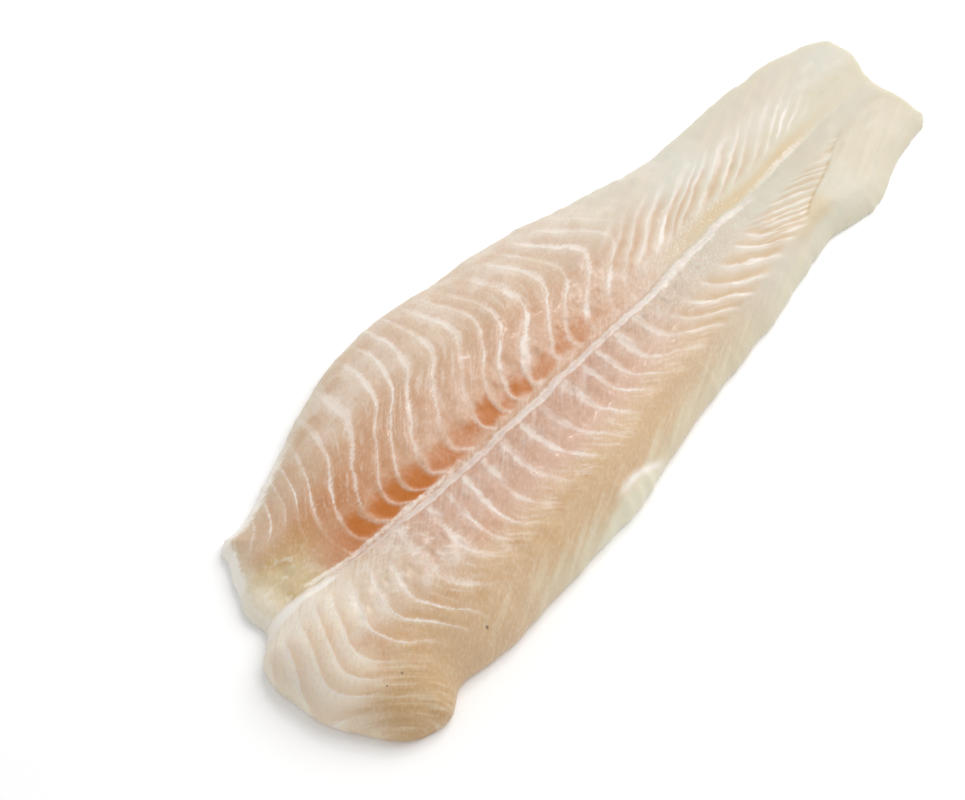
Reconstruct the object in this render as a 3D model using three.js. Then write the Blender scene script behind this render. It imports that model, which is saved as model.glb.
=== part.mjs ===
// Swai fillet: one raw, skinless fillet lying with its bone side up.
// Millimetres, +X towards the tail, +Y towards the belly edge, +Z up,
// with the origin on the table under the middle of the fillet.
import * as THREE from 'three';

// Driving dimensions
const LENGTH = 260;       // head end to tail end
const WIDTH = 92.5;       // back edge to belly edge at the widest place
const THICKNESS = 18.5;   // crest of the back lobe
const FLAKE_COUNT = 38;   // muscle segments from head to tail
const FLAKE_STEP = 0.8;   // height that a flake gains between two septa
const PIT_DEPTH = 1.0;    // hollow of a flake beside the groove
const RIDGE_HEIGHT = 0.7; // white ridge that stands along the midline

// Two coordinates cover the fillet. "Along" runs from 0 at the head end to 1 at the tail end,
// and "across" from -1 at the back edge over 0 on the midline to 1 at the belly edge.

// Edges and midline: part of LENGTH from the head end, part of WIDTH from the centre line
const BELLY_EDGE = [
  [0.07, 0.335], [0.104, 0.33], [0.177, 0.396], [0.273, 0.478], [0.354, 0.498], [0.45, 0.456], [0.515, 0.424],
  [0.58, 0.374], [0.646, 0.312], [0.73, 0.249], [0.792, 0.244], [0.915, 0.21], [0.958, 0.173], [1, 0.13],
];
const BACK_EDGE = [
  [0.07, -0.5], [0.092, -0.5], [0.119, -0.466], [0.162, -0.489], [0.288, -0.489], [0.423, -0.478],
  [0.454, -0.456], [0.596, -0.415], [0.662, -0.402], [0.723, -0.372], [0.781, -0.354], [0.854, -0.387],
  [0.9, -0.348], [0.946, -0.322], [1, -0.321],
];
const MIDLINE = [
  [0, 0.054], [0.038, 0.05], [0.077, 0.035], [0.115, 0.005], [0.162, -0.018], [0.242, -0.045], [0.327, -0.062],
  [0.442, -0.071], [0.577, -0.084], [0.692, -0.078], [0.788, -0.089], [0.885, -0.083], [1, -0.1],
];

// Ends: place across, part of LENGTH at which the flesh begins or stops
const HEAD_END = [
  [-1, 0.077], [-0.97, 0.054], [-0.88, 0.032], [-0.78, 0.02], [-0.66, 0.006], [-0.47, 0.0009], [-0.25, 0.0013],
  [-0.13, 0.0115], [-0.03, 0.033], [0.03, 0.037], [0.15, 0.036], [0.42, 0.05], [0.68, 0.065], [0.9, 0.072],
  [1, 0.081],
];
const TAIL_END = [
  [-1, 0.967], [-0.93, 0.979], [-0.75, 0.982], [-0.49, 0.985], [-0.28, 0.983], [-0.05, 0.981], [0.05, 0.982],
  [0.31, 0.9915], [0.5, 0.9975], [0.8, 0.9993], [0.94, 0.994], [1, 0.979],
];

// Septa: place across, part of LENGTH by which a septum sweeps tailward of its foot on the midline
const SWEEP_NEAR_HEAD = [
  [-1, -0.05], [-0.9, -0.031], [-0.82, -0.021], [-0.7, -0.033], [-0.57, -0.038], [-0.4, -0.031], [0, 0],
  [0.5, 0.031], [1, 0.077],
];
const SWEEP_IN_MIDDLE = [
  [-1, -0.015], [-0.85, 0.012], [-0.74, 0.029], [-0.66, 0.024], [-0.5, -0.005], [-0.35, -0.012],
  [-0.15, -0.008], [0, 0], [0.1, 0], [0.25, 0.018], [0.45, 0.054], [0.57, 0.063], [0.75, 0.065], [1, 0.069],
];
const SWEEP_NEAR_TAIL = [
  [-1, 0.019], [-0.85, 0.054], [-0.74, 0.071], [-0.68, 0.067], [-0.45, 0.01], [-0.3, -0.003], [0, 0],
  [0.2, 0.038], [0.4, 0.096], [0.5, 0.104], [0.6, 0.096], [1, 0.058],
];
const SWEEP_HEAD_PLACE = 0.15;
const SWEEP_MIDDLE_PLACE = 0.38;
const SWEEP_TAIL_PLACE = 0.6;
const HEAD_FADE = 0.12;   // part of the length over which the septa bend into the head end
const TAIL_FADE = 0.27;
const MEAN_HEAD = 0.031;  // ends of an average fibre, parts of LENGTH
const MEAN_TAIL = 0.985;
const END_SHAPE_POWER = 3;
const FLAKE_CROWDING = 0.2; // flakes are shorter by this part at both ends, longer in the middle

// Heights: part of LENGTH from the head end, part of THICKNESS
const BACK_CREST = [
  [0, 0.7], [0.046, 0.84], [0.135, 1], [0.29, 1], [0.46, 0.89], [0.635, 0.675], [0.77, 0.485], [0.885, 0.335],
  [1, 0.227],
];
const BELLY_CREST = [
  [0.03, 0.43], [0.115, 0.54], [0.23, 0.675], [0.365, 0.7], [0.52, 0.62], [0.673, 0.475], [0.81, 0.357],
  [0.923, 0.27], [1, 0.205],
];
const GROOVE_FLOOR = [
  [0.03, 0.3], [0.154, 0.38], [0.31, 0.46], [0.46, 0.46], [0.615, 0.405], [0.77, 0.33], [0.904, 0.255],
  [1, 0.195],
];
const LIP_OF_BACK = [
  [0.03, 0.486], [0.154, 0.6], [0.31, 0.575], [0.46, 0.53], [0.615, 0.445], [0.77, 0.35], [0.904, 0.262],
  [1, 0.2],
];
const BELLY_CREST_PLACE = 0.45; // across
const BACK_CREST_PLACE = 0.4;
const BELLY_FALL = 0.35;        // part of the crest lost on the way to the edge
const BACK_FALL = 0.38;
const STEP_WIDTH = 0.14;        // across, of the step from the lip down into the groove
const RIDGE_PLACE = -0.02;      // across
const RIDGE_WIDTH = 0.04;

// Edge: the flesh is widest a little above the table and tucks in under that
const RIM_SHARE = 0.2;          // height of the widest place, part of the flesh height there
const EDGE_ROUND_MIN = 2;       // mm
const BACK_EDGE_ROUND = 0.75;   // radius of the rounded edge, parts of the flesh height
const BELLY_EDGE_ROUND = 1.2;
const ROUND_BLEND = 0.5;        // across, on either side of the midline, where one turns into the other
const TUCK_ALONG = 0.007;
const TUCK_ACROSS = 0.035;

// Flakes: each has a station just past its front septum, one at its middle and one at its crest
const FLAKE_STATIONS = [0.1, 0.5, 0.9];
const FLAKE_MIDDLE = 0.5;
const RELIEF_MARGIN = 9;        // mm from the edge over which the relief fades out
const PITS_FROM = 0.1;          // along, of the stretch with deep pits beside the groove
const PITS_TO = 0.62;
const PIT_PLACE = 0.1;          // across
const PIT_REACH = 0.1;

// Columns from the midline to an edge, and how much closer they stand at both
const COLUMNS_A_LOBE = 20;
const COLUMN_CROWDING = 0.6;

// Smooth curve through the given pairs, with their places and values scaled to millimetres
function curveThrough(pairs, placeScale, valueScale) {
  const places = pairs.map(([place]) => place * placeScale);
  const values = pairs.map(([, value]) => value * valueScale);
  const interpolant = new THREE.CubicInterpolant(places, values, 1);
  return (place) => interpolant.evaluate(place)[0];
}

const bellyEdge = curveThrough(BELLY_EDGE, LENGTH, WIDTH);
const backEdge = curveThrough(BACK_EDGE, LENGTH, WIDTH);
const midline = curveThrough(MIDLINE, LENGTH, WIDTH);
const headEnd = curveThrough(HEAD_END, 1, LENGTH);
const tailEnd = curveThrough(TAIL_END, 1, LENGTH);
const sweepNearHead = curveThrough(SWEEP_NEAR_HEAD, 1, LENGTH);
const sweepInMiddle = curveThrough(SWEEP_IN_MIDDLE, 1, LENGTH);
const sweepNearTail = curveThrough(SWEEP_NEAR_TAIL, 1, LENGTH);
const backCrest = curveThrough(BACK_CREST, LENGTH, THICKNESS);
const bellyCrest = curveThrough(BELLY_CREST, LENGTH, THICKNESS);
const grooveFloor = curveThrough(GROOVE_FLOOR, LENGTH, THICKNESS);
const lipOfBack = curveThrough(LIP_OF_BACK, LENGTH, THICKNESS);

const { lerp, smoothstep } = THREE.MathUtils;

// Tailward sweep of the septum that crosses the midline at this part of the length
function septumSweep(part, across) {
  const toMiddle = smoothstep(part, SWEEP_HEAD_PLACE, SWEEP_MIDDLE_PLACE);
  const toTail = smoothstep(part, SWEEP_MIDDLE_PLACE, SWEEP_TAIL_PLACE);
  const fade = smoothstep(part, 0, HEAD_FADE) * smoothstep(1 - part, 0, TAIL_FADE);
  const front = lerp(sweepNearHead(across), sweepInMiddle(across), toMiddle);
  return fade * lerp(front, sweepNearTail(across), toTail);
}

// Place on the table, in mm from the head end and from the centre line, under a point of the fillet.
// Lines of equal "along" follow the septa, and those of equal "across" follow the edges.
function plan(along, across) {
  const crowding = FLAKE_CROWDING * Math.sin(2 * Math.PI * along) / (2 * Math.PI);
  const part = along - crowding;
  const fibre = lerp(MEAN_HEAD, MEAN_TAIL, part) * LENGTH;
  const headShape = (1 - part) ** END_SHAPE_POWER * (headEnd(across) - MEAN_HEAD * LENGTH);
  const tailShape = part ** END_SHAPE_POWER * (tailEnd(across) - MEAN_TAIL * LENGTH);
  const x = fibre + headShape + tailShape + septumSweep(part, across);
  const halfWidth = (bellyEdge(x) - backEdge(x)) / 2;
  const bend = (bellyEdge(x) + backEdge(x)) / 2 - midline(x);
  return new THREE.Vector2(x, midline(x) + across * halfWidth + across ** 2 * bend);
}

// Height of one lobe: it swells from its inner edge to a crest and falls off towards the outer edge
function lobe(place, crestPlace, inner, crest, fall) {
  if (place < crestPlace) return inner + (crest - inner) * Math.sin((Math.PI / 2) * place / crestPlace);
  return crest * (1 - fall * ((place - crestPlace) / (1 - crestPlace)) ** 2);
}

// Height of the full flesh, before its edge is rounded, with the ridge along the midline
function fleshHeight(x, across) {
  const belly = lobe(Math.max(across, 0), BELLY_CREST_PLACE, grooveFloor(x), bellyCrest(x), BELLY_FALL);
  const back = lobe(Math.max(-across, 0), BACK_CREST_PLACE, lipOfBack(x), backCrest(x), BACK_FALL);
  const intoGroove = smoothstep(across, -STEP_WIDTH / 2, STEP_WIDTH / 2);
  const ridge = RIDGE_HEIGHT * Math.exp(-(((across - RIDGE_PLACE) / RIDGE_WIDTH) ** 2));
  return lerp(back, belly, intoGroove) + ridge;
}

// Distance from a point to the closed outline
function distanceToEdge(point, outline) {
  const nearest = new THREE.Vector3();
  const side = new THREE.Line3();
  const place = new THREE.Vector3(point.x, point.y, 0);
  let least = Infinity;
  outline.forEach((corner, index) => {
    const next = outline[(index + 1) % outline.length];
    side.start.set(corner.x, corner.y, 0);
    side.end.set(next.x, next.y, 0);
    side.closestPointToPoint(place, true, nearest);
    least = Math.min(least, nearest.distanceTo(place));
  });
  return least;
}

// Shingled flakes: each rises from its front septum to its crest, and is pitted beside the groove
function flakeRelief(x, across, placeInFlake) {
  const shingle = FLAKE_STEP * (placeInFlake - FLAKE_MIDDLE);
  const stretch = smoothstep(x, 0, PITS_FROM * LENGTH) * (1 - smoothstep(x, PITS_TO * LENGTH, LENGTH));
  const besideGroove = Math.exp(-(((across - PIT_PLACE) / PIT_REACH) ** 2));
  const pit = PIT_DEPTH * stretch * besideGroove * Math.sin(Math.PI * placeInFlake);
  return shingle - pit;
}

// Stations from head to tail, three for each flake between the two ends
function stationsAlong() {
  const stations = [{ along: 0, placeInFlake: FLAKE_MIDDLE }];
  for (let flake = 0; flake < FLAKE_COUNT; flake += 1) {
    for (const placeInFlake of FLAKE_STATIONS) {
      stations.push({ along: (flake + placeInFlake) / FLAKE_COUNT, placeInFlake });
    }
  }
  stations.push({ along: 1, placeInFlake: FLAKE_MIDDLE });
  return stations;
}

// Places across, closer together at the midline and at both edges
function columnsAcross() {
  const columns = [];
  for (let column = -COLUMNS_A_LOBE; column <= COLUMNS_A_LOBE; column += 1) {
    const even = column / COLUMNS_A_LOBE;
    columns.push(even - COLUMN_CROWDING * Math.sin(2 * Math.PI * even) / (2 * Math.PI));
  }
  return columns;
}

// Boundary of a grid as a loop of vertex numbers, anticlockwise seen from above
function boundaryLoop(rows, columns) {
  const vertex = (row, column) => row * columns + column;
  const loop = [];
  for (let row = 0; row < rows - 1; row += 1) loop.push(vertex(row, 0));
  for (let column = 0; column < columns - 1; column += 1) loop.push(vertex(rows - 1, column));
  for (let row = rows - 1; row > 0; row -= 1) loop.push(vertex(row, columns - 1));
  for (let column = columns - 1; column > 0; column -= 1) loop.push(vertex(0, column));
  return loop;
}

// The closed body: flaked top, tucked-in edge and flat underside
function filletGeometry() {
  const stations = stationsAlong();
  const columns = columnsAcross();
  const places = stations.flatMap(({ along, placeInFlake }) => columns.map((across) => {
    return { along, across, placeInFlake, point: plan(along, across) };
  }));
  const rim = boundaryLoop(stations.length, columns.length);
  const outline = rim.map((vertex) => places[vertex].point);

  const positions = [];
  for (const { across, placeInFlake, point } of places) {
    const flesh = fleshHeight(point.x, across);
    const inside = distanceToEdge(point, outline);
    const share = lerp(BACK_EDGE_ROUND, BELLY_EDGE_ROUND, smoothstep(across, -ROUND_BLEND, ROUND_BLEND));
    const radius = EDGE_ROUND_MIN + share * flesh;
    const round = Math.sqrt(1 - (1 - Math.min(inside / radius, 1)) ** 2);
    const relief = flakeRelief(point.x, across, placeInFlake) * smoothstep(inside, 0, RELIEF_MARGIN);
    positions.push(point.x, point.y, lerp(RIM_SHARE * flesh, flesh, round) + relief);
  }

  const faces = [];
  for (let row = 0; row < stations.length - 1; row += 1) {
    for (let column = 0; column < columns.length - 1; column += 1) {
      const near = row * columns.length + column;
      const far = near + columns.length;
      faces.push(near, far, far + 1, near, far + 1, near + 1);
    }
  }

  const firstBase = places.length;
  const base = rim.map((vertex) => {
    const { along, across } = places[vertex];
    return plan(lerp(TUCK_ALONG, 1 - TUCK_ALONG, along), across * (1 - TUCK_ACROSS));
  });
  base.forEach(({ x, y }, index) => {
    const next = (index + 1) % base.length;
    positions.push(x, y, 0);
    faces.push(firstBase + index, firstBase + next, rim[next], firstBase + index, rim[next], rim[index]);
  });
  for (const [a, b, c] of THREE.ShapeUtils.triangulateShape(base, [])) {
    faces.push(firstBase + a, firstBase + c, firstBase + b);
  }

  const geometry = new THREE.BufferGeometry();
  geometry.setAttribute('position', new THREE.Float32BufferAttribute(positions, 3));
  geometry.setIndex(faces);
  geometry.computeBoundingBox();
  const middle = geometry.boundingBox.getCenter(new THREE.Vector3());
  geometry.translate(-middle.x, -middle.y, 0);
  geometry.computeVertexNormals();
  return geometry;
}

const flesh = new THREE.MeshStandardMaterial({ color: 0xdcc0a2, roughness: 0.35, metalness: 0 });
const fillet = new THREE.Mesh(filletGeometry(), flesh);
fillet.name = 'fillet';

const model = new THREE.Group();
model.add(fillet);

export default model;
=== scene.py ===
from functools import partial

import bpy
import numpy as np
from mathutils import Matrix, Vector


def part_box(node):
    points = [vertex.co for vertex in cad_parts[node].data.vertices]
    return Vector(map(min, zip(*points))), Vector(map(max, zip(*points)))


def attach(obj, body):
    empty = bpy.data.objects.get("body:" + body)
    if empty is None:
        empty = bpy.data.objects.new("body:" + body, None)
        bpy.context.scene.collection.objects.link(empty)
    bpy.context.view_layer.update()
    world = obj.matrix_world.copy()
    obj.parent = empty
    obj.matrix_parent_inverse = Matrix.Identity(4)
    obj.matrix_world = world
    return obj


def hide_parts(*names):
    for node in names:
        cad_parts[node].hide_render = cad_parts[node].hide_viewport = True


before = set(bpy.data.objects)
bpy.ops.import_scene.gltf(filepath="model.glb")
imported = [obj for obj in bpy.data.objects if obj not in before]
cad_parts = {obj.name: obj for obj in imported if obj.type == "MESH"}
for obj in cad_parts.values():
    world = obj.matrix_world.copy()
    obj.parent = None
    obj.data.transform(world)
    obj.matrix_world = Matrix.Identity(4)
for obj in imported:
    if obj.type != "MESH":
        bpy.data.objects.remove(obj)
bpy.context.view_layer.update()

MM = 0.001

# Driving sizes, in metres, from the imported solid. The flesh's crest takes a share of the box's height, and
# relief the rest. Flakes are one pitch wide. Extra ones fit in near the head end, up to a part of LENGTH.
LOW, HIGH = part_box("fillet")
LENGTH = HIGH[0] - LOW[0]
WIDTH = HIGH[1] - LOW[1]
CREST_SHARE = 0.96
THICKNESS = CREST_SHARE * (HIGH[2] - LOW[2])
FLAKE_PITCH = 7.4 * MM
EXTRA_HEAD_FLAKES = 5.0
HEAD_FLAKES_END = 0.2

# Two coordinates cover the fillet. "Along" runs from 0 at the head end to 1 at the tail end,
# and "across" from -1 at the back edge over 0 on the midline to 1 at the belly edge.

# Edges and midline: part of LENGTH from the head end, part of WIDTH from the centre line
BELLY_EDGE = (
    (0.07, 0.335), (0.104, 0.33), (0.177, 0.396), (0.273, 0.478), (0.354, 0.498), (0.45, 0.456),
    (0.515, 0.424), (0.58, 0.374), (0.646, 0.312), (0.73, 0.249), (0.792, 0.244), (0.915, 0.21),
    (0.958, 0.173), (1, 0.13),
)
BACK_EDGE = (
    (0.07, -0.5), (0.092, -0.5), (0.119, -0.466), (0.162, -0.489), (0.288, -0.489), (0.423, -0.478),
    (0.454, -0.456), (0.596, -0.415), (0.662, -0.402), (0.723, -0.372), (0.781, -0.354),
    (0.854, -0.387), (0.9, -0.348), (0.946, -0.322), (1, -0.321),
)
MIDLINE = (
    (0, 0.054), (0.038, 0.05), (0.077, 0.035), (0.115, 0.005), (0.162, -0.018), (0.242, -0.045),
    (0.327, -0.062), (0.442, -0.071), (0.577, -0.084), (0.692, -0.078), (0.788, -0.089),
    (0.885, -0.083), (1, -0.1),
)

# Ends: place across, part of LENGTH at which the flesh begins or stops
HEAD_END = (
    (-1, 0.077), (-0.97, 0.054), (-0.88, 0.032), (-0.78, 0.02), (-0.66, 0.006), (-0.47, 0.0009),
    (-0.25, 0.0013), (-0.13, 0.0115), (-0.03, 0.033), (0.03, 0.037), (0.15, 0.036), (0.42, 0.05),
    (0.68, 0.065), (0.9, 0.072), (1, 0.081),
)
TAIL_END = (
    (-1, 0.967), (-0.93, 0.979), (-0.75, 0.982), (-0.49, 0.985), (-0.28, 0.983), (-0.05, 0.981),
    (0.05, 0.982), (0.31, 0.9915), (0.5, 0.9975), (0.8, 0.9993), (0.94, 0.994), (1, 0.979),
)

# Septa: place of the foot as a part of LENGTH, then for places across the part of LENGTH by which the
# septum lies tailward of its foot on the midline
SWEEPS = (
    (0.1, (
        (-1, 0.03), (-0.9, 0.013), (-0.78, -0.014), (-0.72, -0.029), (-0.63, -0.043), (-0.55, -0.046),
        (-0.35, -0.031), (0, 0), (0.25, 0), (0.5, 0.012), (0.65, 0.029), (1, 0.054),
    )),
    (0.25, (
        (-1, -0.035), (-0.86, 0.012), (-0.78, 0.023), (-0.72, 0.015), (-0.57, -0.012), (-0.45, -0.017),
        (-0.3, -0.015), (0, 0), (0.04, 0), (0.12, -0.017), (0.2, -0.017), (0.36, 0.006), (0.5, 0.033),
        (0.6, 0.058), (0.7, 0.067), (1, 0.077),
    )),
    (0.42, (
        (-1, -0.042), (-0.86, 0.008), (-0.8, 0.023), (-0.74, 0.029), (-0.6, 0.01), (-0.4, -0.013),
        (-0.15, -0.008), (0, 0), (0.04, 0), (0.1, -0.008), (0.2, 0), (0.3, 0.013), (0.47, 0.044),
        (0.63, 0.052), (0.75, 0.044), (0.85, 0.037), (1, 0.035),
    )),
    (0.55, (
        (-1, -0.031), (-0.82, 0.042), (-0.75, 0.054), (-0.7, 0.05), (-0.47, 0.008), (-0.35, -0.004), (0, 0),
        (0.1, 0), (0.2, 0.012), (0.45, 0.062), (0.53, 0.069), (0.6, 0.063), (0.7, 0.046), (0.8, 0.033),
        (1, 0.019),
    )),
)

# Count of septa: rounds that find a point's foot, share of the remaining way that each round goes, half the
# width over which the counts of the two lobes blend, and the seeds of their unevenness, for back and belly
FOOT_ROUNDS = 14
FOOT_STEP = 0.5
SEPTA_SEAM = 0.02
SEPTA_SEEDS = (5, 15)

# Strokes of the thin tail: tailward slope in mm for each unit across, pitch in mm, and seed
BACK_STROKES = (62.0, 5.6, 25)
BELLY_STROKES = (62.0, 6.8, 26)

# Unevenness of septa and of strokes, as parts of one count: in spacing, and in the way each line wanders.
# Spacing changes over SPREAD_LENGTH counts. A line drifts slowly, and shakes by a share of its drift.
SEPTA_UNEVEN = (0.26, 0.14)
STROKES_UNEVEN = (0.4, 0.06)
SPREAD_LENGTH = 1.6
WANDER_SIZE = 12 * MM
SHAKE_SIZE = 4 * MM
SHAKE_SHARE = 0.3

# Unequal lines: the count that numbers them, changes of strength for each unit across, seed, least
# strength, and the marks that it weakens. In the noise, neighbouring lines lie LINE_STEP apart. The nearest
# line to a point is at most HALF_COUNT away.
UNEQUAL_LINES = (
    ("phase", 5.0, 21, 0.55, ("septum", "head_septum")),
    ("strokes", 3.0, 22, 0.25, ("stroke", "belly_stroke")),
)
LINE_STEP = 7.3
HALF_COUNT = 0.5

# Ends of the plan: mean places as parts of LENGTH, and the power by which an end's outline fades inwards
MEAN_HEAD = 0.031
MEAN_TAIL = 0.985
END_SHAPE_POWER = 3

# Heights: part of LENGTH from the head end, part of THICKNESS
BACK_CREST = (
    (0, 0.7), (0.046, 0.84), (0.135, 1), (0.29, 1), (0.46, 0.89), (0.635, 0.675), (0.77, 0.485),
    (0.885, 0.335), (1, 0.227),
)
BELLY_CREST = (
    (0.03, 0.43), (0.115, 0.54), (0.23, 0.675), (0.365, 0.7), (0.52, 0.62), (0.673, 0.475),
    (0.81, 0.357), (0.923, 0.27), (1, 0.205),
)
GROOVE_FLOOR = (
    (0.03, 0.3), (0.154, 0.38), (0.31, 0.46), (0.46, 0.46), (0.615, 0.405), (0.77, 0.33),
    (0.904, 0.255), (1, 0.195),
)
LIP_OF_BACK = (
    (0.03, 0.486), (0.154, 0.6), (0.31, 0.575), (0.46, 0.53), (0.615, 0.445), (0.77, 0.35),
    (0.904, 0.262), (1, 0.2),
)

# Across: places of the crests, fall from crest to edge as a part of the crest, step into the groove, ridge
BELLY_CREST_PLACE = 0.45
BACK_CREST_PLACE = 0.4
BELLY_FALL = 0.35
BACK_FALL = 0.38
STEP_WIDTH = 0.14
RIDGE_PLACE = -0.02
RIDGE_WIDTH = 0.04
RIDGE_HEIGHT = 0.7 * MM
RIDGE_FADE = (0.55 * LENGTH, 0.8 * LENGTH)

# Edge: the flesh is widest at a rim a little above the table, and tucks in under it. Above the rim it is
# rounded off over a least distance plus a part of the flesh height, which blends from back to belly.
RIM_SHARE = 0.2
EDGE_ROUND_MIN = 2 * MM
BACK_EDGE_ROUND = 0.75
BELLY_EDGE_ROUND = 1.2
ROUND_BLEND = 0.5
TUCK_ALONG = 0.007
TUCK_ACROSS = 0.035

# Relief of flakes, strokes, cells, flap and fold. A flake climbs and drops over two parts of one count, and
# has a share of its step where no septum shows. Relief fades in over a margin from the edge.
SHINGLE_CLIMB = (0.05, 0.9)
SHINGLE_DROP = (0.86, 1.0)
FLAKE_STEP = 0.25 * MM
PLAIN_SHARE = 0.3
STROKE_STEP = 0.05 * MM
FLAP_STEP = 0.2 * MM
PIT_DEPTH = 0.5 * MM
FOLD_HEIGHT = 0.7 * MM
RELIEF_MARGIN = 9 * MM

# Uneven flesh: height, size and seed of each noise, and the mark that limits it
LUMPS = (
    (0.35 * MM, 17 * MM, 31, None),
    (0.14 * MM, 3.2 * MM, 32, None),
    (0.16 * MM, 1.3 * MM, 33, "ridge"),
    (0.35 * MM, 1.3 * MM, 34, "tuft"),
    (0.5 * MM, 3.2 * MM, 35, "fat"),
)

# Ragged outline: reach, size and seed of each noise that shifts the flesh sideways
RAGGED = ((0.5 * MM, 7 * MM, 51), (0.25 * MM, 2.6 * MM, 53))

# Orange cells, one between each pair of septa beside the groove: place and reach across, which is larger
# near the head, shares of that reach on the ridge side and on the far side, strength, and the window along.
# Three seeds set each cell's own place, reach and strength, and two warps (amount, seed) bend its outline.
# It is squarish between its septa, and it fades from its middle outwards.
PIT_PLACE = 0.11
PIT_WANDER = 0.02
PIT_REACH = 0.08
PIT_REACH_NEAR_HEAD = 0.14
PIT_NEAR_HEAD = (60, 90)
PIT_REACH_SPREAD = 0.3
PIT_RIDGE_SIDE = 0.8
PIT_FAR_SIDE = 1.7
PIT_STRENGTH = 0.66
PIT_STRENGTH_SPREAD = 0.24
PIT_SEEDS = (41, 42, 46)
PIT_WARP_SIZE = 3 * MM
PIT_WARPS = ((0.02, 43), (0.1, 44))
PIT_SQUARENESS = 3
PIT_FADE = (0.15, 1.15)
PIT_WINDOW = (24, 50, 85, 175)

# The smooth thin flap on the back side of the tail: place across, part of LENGTH where it begins. It rises
# softly over its edge, opens away from the midline and covers some marks. Painted shade lies just before it.
FLAP_EDGE = ((-1, 0.79), (-0.65, 0.775), (-0.53, 0.8), (-0.43, 0.827), (-0.35, 0.854), (-0.2, 0.9))
FLAP_SOFTNESS = (-0.8 * MM, 0.4 * MM)
FLAP_OPENING = (0.15, 0.3)
FLAP_COVERS = ("septum", "late_septum", "streak", "stroke", "gap")
FLAP_SHADE_PLACE = -0.8 * MM
FLAP_SHADE_REACH = 0.8 * MM
FLAP_SHADE_WINDOW = (0.34, 0.4, 0.64, 0.7)

# The pale fold on the back edge: its window along in mm, how far it reaches in from the edge, and the white
# crease on its inner side
FOLD_WINDOW = (76, 98, 100, 118)
FOLD_REACH = 0.12
FOLD_SOFTNESS = 0.05
CREASE_REACH = 0.025
CREASE_WINDOW = (92, 101, 109, 116)

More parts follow.
